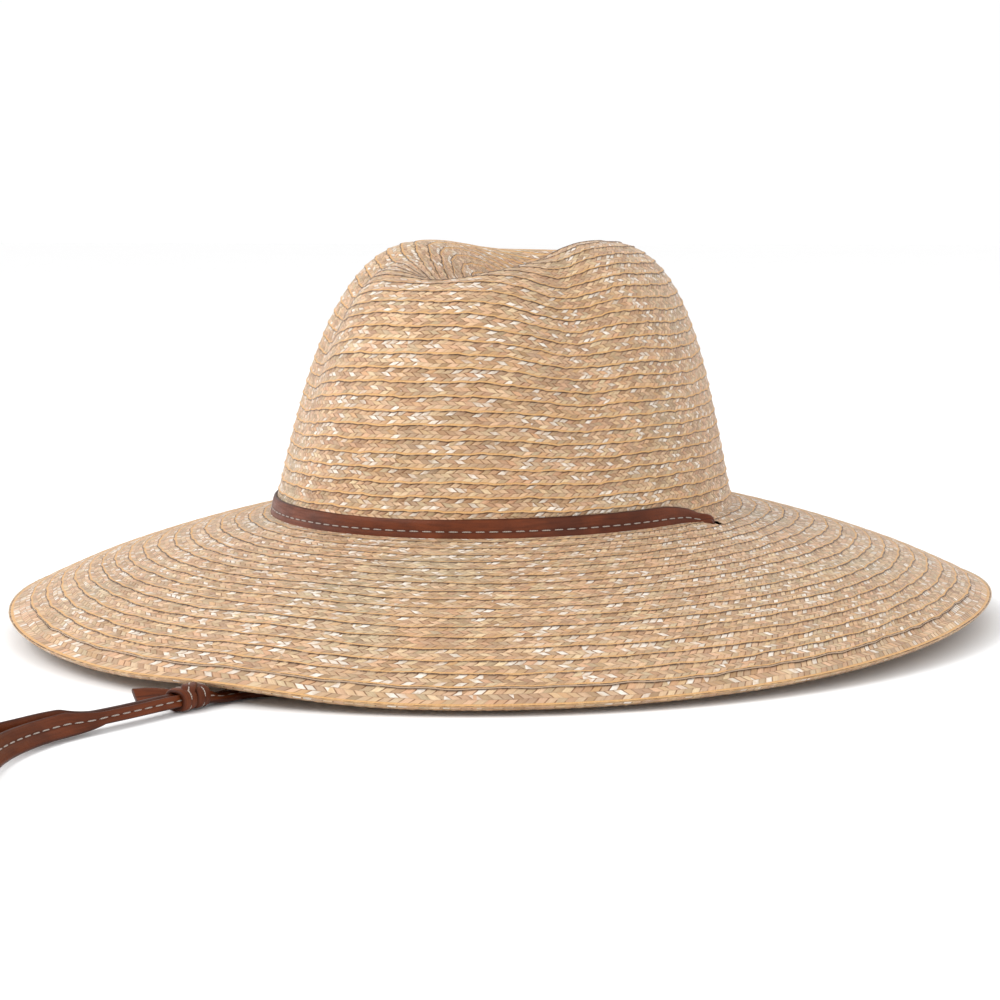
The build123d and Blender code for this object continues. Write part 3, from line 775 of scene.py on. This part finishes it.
# ---- Leather, thread, metal and ribbon materials ------------------------------------
def leather_material():
    """Smooth saddle leather with darker edges, fine pores and faint long creases."""
    g = Graph("saddle_leather")
    along, across = g.uv()
    place = g.place()
    cloud = g.noise(place, 60.0, 4.0)
    grain = g.add("ShaderNodeTexVoronoi", Vector=place, Scale=1500.0).outputs["Distance"]
    creases = g.noise(g.scaled((along, 0.10), (across, 5.0), 0.0), 1.0, 4.0)
    brown = g.mix(g.span(cloud, 0.3, 0.7), colour(80, 36, 15), colour(110, 53, 25))
    brown = g.mix(g.span(creases, 0.35, 0.75, 0.0, 0.5), brown, colour(62, 28, 14))
    rim = g.span(g.math("ABSOLUTE", across), 0.80, 1.0)
    brown = g.mix(g.math("MULTIPLY", rim, 0.75), brown, colour(46, 18, 10))
    groove = g.span(g.math("ABSOLUTE", across), 0.04, 0.16, 0.45, 0.0)
    brown = g.mix(groove, brown, colour(50, 20, 12))
    g.surface(
        Base_Color=brown,
        Roughness=g.span(creases, 0.2, 0.8, 0.36, 0.50),
        Specular_IOR_Level=0.16,
    )
    g.bump(g.math("MULTIPLY_ADD", creases, 1.4, grain), 0.00012, 0.45)
    return g.material


def thread_material():
    """Pale waxed thread of twisted plies."""
    g = Graph("waxed_thread")
    along, around = g.uv()
    turns = g.math("MULTIPLY_ADD", along, 1.6, around)
    twist = g.math("SINE", g.math("MULTIPLY", turns, 6.2832))
    pale = g.mix(g.span(twist, -1.0, 1.0), colour(122, 107, 97), colour(180, 167, 156))
    g.surface(Base_Color=pale, Roughness=0.55, Sheen_Weight=0.2)
    g.bump(twist, 0.00008, 0.6)
    return g.material


def nickel_material():
    """Plated metal, a little worn and cloudy."""
    g = Graph("nickel_plate")
    place = g.place()
    wear = g.noise(place, 900.0, 5.0)
    tone = g.mix(wear, colour(128, 140, 140), colour(196, 202, 198))
    g.surface(
        Base_Color=tone, Metallic=1.0, Roughness=g.span(wear, 0.3, 0.75, 0.18, 0.42)
    )
    g.bump(g.noise(place, 2600.0, 2.0), 0.00003, 0.3)
    return g.material


def ribbon_material():
    """Grosgrain ribbon: upright ribs that follow the crown."""
    g = Graph("grosgrain_ribbon")
    place = g.place()
    parts = g.add("ShaderNodeSeparateXYZ", Vector=place)
    angle = g.math("ARCTAN2", parts.outputs[0], parts.outputs[1])
    rib = g.math("SINE", g.math("MULTIPLY", angle, 420.0))
    weft = g.math("SINE", g.math("MULTIPLY", parts.outputs[2], 9000.0))
    tone = g.mix(g.span(rib, -1.0, 1.0), colour(168, 144, 108), colour(214, 194, 158))
    tone = g.mix(g.span(weft, -1.0, 1.0, 0.0, 0.25), tone, colour(150, 126, 92))
    g.surface(Base_Color=tone, Roughness=0.8, Sheen_Weight=0.3)
    g.bump(g.math("MULTIPLY_ADD", weft, 0.3, rib), 0.0002, 0.7)
    return g.material


STRAW = straw_material()
LEATHER = leather_material()
THREAD = thread_material()
NICKEL = nickel_material()
RIBBON = ribbon_material()


# ---- Chin strap ---------------------------------------------------------------------
LACE_WIDTH = 8.5
LACE_THICKNESS = 1.6
STRAP_Z = 1.6
KNOT_Z = 3.85
ON_EDGE_Z = 4.4                # a lace on its edge has its middle this high
HALF_SPACING = 1.6             # from the knot's middle to each strand
KNOT_HEADING = np.radians(13.5)
KNOT_MIDDLE = np.array([-20.5, -215.5, KNOT_Z])
KNOT_AHEAD = np.array([-np.sin(KNOT_HEADING), -np.cos(KNOT_HEADING), 0.0])
KNOT_SIDE = np.array([np.cos(KNOT_HEADING), -np.sin(KNOT_HEADING), 0.0])


def knot_point(ahead, side, up):
    return KNOT_MIDDLE + KNOT_AHEAD * ahead + KNOT_SIDE * side + UP * up


def strap_place(ahead, side, z):
    return tuple(knot_point(ahead, side, z - KNOT_Z))


STRAP_POINTS = [
    (91.2, -18.0, 34.5),
    (88.5, -40.0, 12.0),
    (77.0, -77.0, STRAP_Z),
    (57.0, -117.0, STRAP_Z),
    (34.0, -150.0, STRAP_Z),
    (12.0, -176.0, STRAP_Z),
    strap_place(-27.0, 2.6, STRAP_Z),
    strap_place(-12.5, 2.2, STRAP_Z),
    strap_place(-6.5, HALF_SPACING, KNOT_Z),
    strap_place(40.0, HALF_SPACING, KNOT_Z),
    (-33.6, -269.0, ON_EDGE_Z),
    (-35.0, -285.0, ON_EDGE_Z),
    (-32.5, -305.0, ON_EDGE_Z),
    (-23.0, -327.0, ON_EDGE_Z),
    (-18.0, -348.0, ON_EDGE_Z),
    (-28.0, -371.0, ON_EDGE_Z),
    (-50.0, -371.0, ON_EDGE_Z),
    (-60.0, -348.0, ON_EDGE_Z),
    (-54.5, -327.0, ON_EDGE_Z),
    (-44.0, -305.0, ON_EDGE_Z),
    (-40.8, -285.0, ON_EDGE_Z),
    (-38.8, -269.0, ON_EDGE_Z),
    strap_place(40.0, -HALF_SPACING, KNOT_Z),
    strap_place(-6.5, -HALF_SPACING, KNOT_Z),
    strap_place(-12.5, -2.2, STRAP_Z),
    strap_place(-27.0, -2.6, STRAP_Z),
    (-20.0, -171.0, STRAP_Z),
    (-40.0, -146.0, STRAP_Z),
    (-65.0, -113.0, STRAP_Z),
    (-82.0, -76.0, STRAP_Z),
    (-89.5, -40.0, 12.0),
    (-91.2, -18.0, 34.5),
]


def nurbs_path(points, count):
    """Even points on the smooth curve that has these control points."""
    curve = bpy.data.curves.new("strap_line", "CURVE")
    curve.dimensions = "3D"
    spline = curve.splines.new("NURBS")
    spline.points.add(len(points) - 1)
    for target, point in zip(spline.points, points):
        target.co = (*(c * MM for c in point), 1.0)
    spline.order_u = 3
    spline.use_endpoint_u = True
    spline.resolution_u = 24
    line = bpy.data.objects.new("strap_line", curve)
    bpy.context.scene.collection.objects.link(line)
    mesh = bpy.data.meshes.new_from_object(line)
    found = np.array([v.co[:] for v in mesh.vertices]) / MM
    bpy.data.objects.remove(line)
    bpy.data.curves.remove(curve)
    bpy.data.meshes.remove(mesh)
    return even_points(found, count)


# How a lace is turned, by its distance ahead of the knot: 0 is flat, 90 is on its edge.
TURN_AT = [-60.0, -30.0, -13.0, -6.0, 39.0, 51.0, 64.0, 100.0, 130.0]
NEAR_TURN = [0.0, 4.0, 8.0, 70.0, 72.0, 56.0, 50.0, 58.0, 88.0]
FAR_TURN = [0.0, 4.0, 8.0, 75.0, 78.0, 82.0, 84.0, 86.0, 88.0]
WIDTH_AT = [-60.0, -36.0, -13.0, -6.0, 39.0, 53.0, 80.0]
WIDTHS = [LACE_WIDTH, 8.0, 4.4, 4.1, 4.1, 8.0, LACE_WIDTH]
THICKNESSES = [LACE_THICKNESS, 1.7, 2.0, 2.2, 2.2, 1.7, LACE_THICKNESS]
LIFTS = [0.0, 0.0, 0.0, 0.0, 0.0, 0.1, 0.0]
CURLS = [0.15, 0.2, 0.2, 0.3, 0.3, 0.4, 0.3]
# Where it lies on the table, by the same distance: 1 is down, 0 is held up by the knot.
DOWN_AT = [-12.0, -6.0, 39.0, 51.0]
DOWN = [1.0, 0.0, 0.0, 1.0]
# How it narrows and thickens into its eyelets, by the distance from its end.
END_AT = [0.0, 6.0, 22.0]
END_WIDTHS = [0.50, 0.55, 1.0]
END_THICKNESSES = [1.6, 1.5, 1.0]
FREE_FROM_END = 45.0           # it comes down to the table over this length
TABLE_GAP = 0.3
STITCH_LIFT = 0.39             # share of the lace's thickness that the stitches lie at


def make_chin_strap():
    path = nurbs_path(STRAP_POINTS, 700)
    lengths = lengths_along(path)
    from_end = np.minimum(lengths, lengths[-1] - lengths)
    ahead = (path - KNOT_MIDDLE) @ KNOT_AHEAD
    near_turn, far_turn = (np.interp(ahead, TURN_AT, turns) for turns in (NEAR_TURN, FAR_TURN))
    turn = np.radians(np.where(lengths < lengths[-1] / 2, near_turn, far_turn))
    tangent = unit(np.gradient(path, axis=0))
    level = unit(np.cross(tangent, UP))
    above = np.cross(level, tangent)
    facing = above * np.cos(turn)[:, None] - level * np.sin(turn)[:, None]
    width = np.interp(ahead, WIDTH_AT, WIDTHS) * np.interp(from_end, END_AT, END_WIDTHS)
    thickness = np.interp(ahead, WIDTH_AT, THICKNESSES) * np.interp(from_end, END_AT, END_THICKNESSES)
    lace = path + UP * np.interp(ahead, WIDTH_AT, LIFTS)[:, None]
    half_height = 0.5 * (width * np.abs(np.sin(turn)) + thickness * np.cos(turn))
    gap = lace[:, 2] - half_height - TABLE_GAP
    settle = np.interp(ahead, DOWN_AT, DOWN) * smooth_step(0.0, FREE_FROM_END, from_end)
    lace = lace - UP * (np.where(gap < 0.0, 1.0, settle) * gap)[:, None]
    strap = ribbon("chin_strap_lace", lace, facing, width, thickness, "chin_strap",
                   curl=np.interp(ahead, WIDTH_AT, CURLS))
    thread = stitches("chin_strap_stitches", lace, facing, "chin_strap",
                      lift=thickness * STITCH_LIFT, margin=8.0)
    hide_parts("chin_strap")
    return strap, thread, lace


# ---- Sliding knot -------------------------------------------------------------------
WRAP_HALF_WIDTH = 3.95
WRAP_HALF_HEIGHT = 3.05
WRAP_LENGTH = 6.4
WRAP_THICKNESS = 1.5
WRAP_OFFSET = 3.3              # of each wrap from the knot's middle
WRAP_PITCH = 0.7
WRAP_SQUARENESS = 0.8          # 1 is an ellipse, and less has fuller corners
KNOT_STEPS = 40
# Points of its loose laces: distances ahead of the knot's middle, to its side and up.
CROSSING_POINTS = [
    (4.2, 3.6, 1.2), (2.2, 2.2, 3.4), (-0.3, 0.2, 3.85), (-2.8, -2.0, 3.4), (-4.6, -3.9, 1.0),
]
CROSSING_WIDTH = 5.2           # at its middle
CROSSING_TAPER = 1.4
CROSSING_THICKNESS = 1.2
TAIL_POINTS = [(-3.0, -2.6, -1.2), (-1.0, -6.0, -0.9), (5.0, -9.4, 0.1), (12.0, -12.0, 0.3)]
TAIL_WIDTHS = (5.4, 7.6)       # at its root and its tip


def wrap_path(way):
    """Turn of lace round both strands, from under them; way is 1 for the wrap ahead, or -1."""
    share = np.linspace(0.0, 1.0, 72)
    angle = 2.0 * np.pi * share - np.pi / 2
    across, rise = (np.sign(v) * np.abs(v) ** WRAP_SQUARENESS for v in (np.cos(angle), np.sin(angle)))
    ahead = way * (WRAP_OFFSET + WRAP_PITCH * (share - 0.5))[:, None]
    across, rise = across[:, None], rise[:, None]
    path = knot_point(ahead, WRAP_HALF_WIDTH * across, WRAP_HALF_HEIGHT * rise)
    return path, unit(KNOT_SIDE * (across / WRAP_HALF_WIDTH) + UP * (rise / WRAP_HALF_HEIGHT))


def make_knot():
    laces, threads = [], []
    for number, way in ((1, 1.0), (2, -1.0)):
        path, facing = wrap_path(way)
        laces.append(ribbon(f"knot_wrap_{number}", path, facing, WRAP_LENGTH, WRAP_THICKNESS,
                            "slider_knot", curl=-0.35))
        threads.append(stitches(f"knot_stitches_{number}", path, facing, "slider_knot",
                                lift=0.72, margin=1.0))
    share = np.linspace(0.0, 1.0, KNOT_STEPS)
    path = smooth_path([knot_point(*point) for point in CROSSING_POINTS], KNOT_STEPS)
    facing = unit(UP + KNOT_SIDE * (0.9 - 1.8 * share)[:, None])
    width = CROSSING_WIDTH - CROSSING_TAPER * (2.0 * share - 1.0) ** 2
    laces.append(ribbon("knot_crossing", path, facing, width, CROSSING_THICKNESS,
                        "slider_knot", curl=-0.3))
    threads.append(stitches("knot_stitches_3", path, facing, "slider_knot", lift=0.62, margin=0.6))
    path = smooth_path([knot_point(*point) for point in TAIL_POINTS], KNOT_STEPS)
    facing = np.tile(unit(UP * 0.75 + KNOT_SIDE * 0.65), (KNOT_STEPS, 1))
    width = np.linspace(*TAIL_WIDTHS, KNOT_STEPS)
    laces.append(ribbon("knot_tail", path, facing, width, WRAP_THICKNESS, "slider_knot", curl=0.3))
    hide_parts("slider_knot")
    return laces + threads


make_camera()
STRAP, STRAP_THREAD, STRAP_LINE = make_chin_strap()
KNOT_PIECES = make_knot()


# ---- Straw shells -------------------------------------------------------------------
# First course, the course after the last, columns round the hat, and the nodes that the piece stands for
# and hides.
CROWN_PIECES = (
    (0, 7, 360, ("tip_button", "crown_tip")),
    (7, 14, 660, ()),
    (14, 21, 900, ("crown_shoulder",)),
    (21, 28, 900, ("crown_wall",)),
    (28, CROWN_COURSES, 900, ()),
)
BRIM_PIECES = (
    (0, 4, 1080, ("brim_inner",)),
    (4, 8, 1200, None),
    (8, 12, 1320, ("brim_outer",)),
    (12, BRIM_COURSES, 1380, None),
    (BRIM_COURSES, BRIM_COURSES + 1, 1440, ("brim_edge",)),
)


def make_straw(kind, surface, pieces):
    for first, last, columns, nodes in pieces:
        piece = shell_piece(f"straw_{kind}_{first:02d}", surface, first, last, columns)
        if nodes is not None:
            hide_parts(*nodes)


make_straw("crown", crown_surface, CROWN_PIECES)
make_straw("brim", brim_surface, BRIM_PIECES)


# ---- Leather band -------------------------------------------------------------------
BAND_MIDDLE = 45.7
BAND_WIDTH = 9.7
BAND_OFFSET = 1.45             # of its middle from the crown's foot
BAND_LEAN = 0.20               # how far its face looks up
BAND_END_LEAN = 0.25           # and how much more near the eyelets
# Its width and thickness, by the distance from its end.
BAND_WIDTH_AT = [0.0, 7.0, 15.0, 30.0]
BAND_WIDTHS = [3.6, 4.0, 7.0, BAND_WIDTH]
BAND_THICKNESS_AT = [0.0, 7.0, 18.0]
BAND_THICKNESSES = [2.4, 2.2, LACE_THICKNESS]


def band_point(angle, offset, z=BAND_MIDDLE):
    point = brim_point(np.radians(angle), offset)
    return np.array([point[0], point[1], z])


def band_end(side):
    """From the crown's side down through the eyelet."""
    hole, axis = EYELETS[0] if side > 0 else EYELETS[1]
    back = band_point(side * 76.0, 5.0, 0.0) - band_point(side * EYELET_ANGLE, EYELET_OFFSET, 0.0)
    return [
        band_point(side * 60.0, BAND_OFFSET),
        band_point(side * 67.0, 1.55, BAND_MIDDLE - 0.1),
        band_point(side * 72.0, 2.3, BAND_MIDDLE - 0.7),
        band_point(side * 75.5, 3.9, BAND_MIDDLE - 2.0),
        hole + axis * 2.4 + back * 0.22,
        hole - axis * 0.6,
        hole - axis * 4.4,
    ]


def make_band():
    front = [band_point(angle, BAND_OFFSET) for angle in np.linspace(-54.0, 54.0, 25)]
    path = smooth_path(band_end(-1)[::-1] + front + band_end(1), 420)
    outward = unit(path * np.array([CROWN_HALF_WIDTH ** -2.0, CROWN_HALF_LENGTH ** -2.0, 0.0]))
    lengths = lengths_along(path)
    from_end = np.minimum(lengths, lengths[-1] - lengths)
    near_end = smooth_step(24.0, 6.0, from_end)[:, None]
    facing = outward + UP * (BAND_LEAN + BAND_END_LEAN * near_end)
    width = np.interp(from_end, BAND_WIDTH_AT, BAND_WIDTHS)
    thickness = np.interp(from_end, BAND_THICKNESS_AT, BAND_THICKNESSES)
    band = ribbon("hat_band", path, facing, width, thickness, "hat", curl=-0.25)
    thread = stitches("hat_band_stitches", path, unit(facing), "hat",
                      lift=thickness * STITCH_LIFT + 0.12, margin=10.0)
    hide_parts("leather_band")
    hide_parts("band_stitching")


make_band()


# ---- Metal and ribbon that keep the part's own shapes -------------------------------
def finish_node(node, material):
    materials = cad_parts[node].data.materials
    materials.clear()
    materials.append(material)


for node in ("eyelet_left", "eyelet_right", "eyelet_washer_left", "eyelet_washer_right"):
    finish_node(node, NICKEL)
finish_node("sweatband", RIBBON)


# ---- Floor and light ----------------------------------------------------------------
FLOOR_Z = -0.4
FLOOR_HALF_SIZE = 8000.0
WORLD_STRENGTH = 1.01
LAMP_TARGET = Vector((0.0, 0.0, 0.07))
# Name, place in metres, size in metres and power in watts.
LAMPS = (
    ("key", (-1.0, -1.5, 1.7), 1.2, 26.0),
    ("fill", (1.8, -1.0, 1.0), 1.6, 8.0),
    ("side", (-2.0, -0.4, 0.45), 1.2, 9.0),
)


def make_stage():
    g = Graph("pale_floor")
    tone = g.mix(g.noise(g.place(), 3.0, 2.0), colour(252, 252, 252), colour(254, 254, 254))
    g.surface(Base_Color=tone, Roughness=0.9, Specular_IOR_Level=0.1)
    corners = np.array([
        (x * FLOOR_HALF_SIZE, y * FLOOR_HALF_SIZE, FLOOR_Z) for x, y in ((-1, -1), (1, -1), (1, 1), (-1, 1))
    ])
    mesh = bpy.data.meshes.new("floor")
    mesh.from_pydata((corners * MM).tolist(), [], [(0, 1, 2, 3)])
    mesh.materials.append(g.material)
    floor = bpy.data.objects.new("floor", mesh)
    bpy.context.scene.collection.objects.link(floor)
    world = bpy.data.worlds.new("studio")
    world.use_nodes = True
    background = world.node_tree.nodes["Background"]
    background.inputs["Color"].default_value = (1.0, 1.0, 1.0, 1.0)
    background.inputs["Strength"].default_value = WORLD_STRENGTH
    bpy.context.scene.world = world
    for name, place, size, power in LAMPS:
        lamp = bpy.data.objects.new(name, bpy.data.lights.new(name, "AREA"))
        lamp.data.size = size
        lamp.data.energy = power
        lamp.location = place
        lamp.rotation_euler = (LAMP_TARGET - Vector(place)).to_track_quat("-Z", "Y").to_euler()
        bpy.context.scene.collection.objects.link(lamp)
    bpy.context.scene.view_settings.view_transform = "Standard"


make_stage()
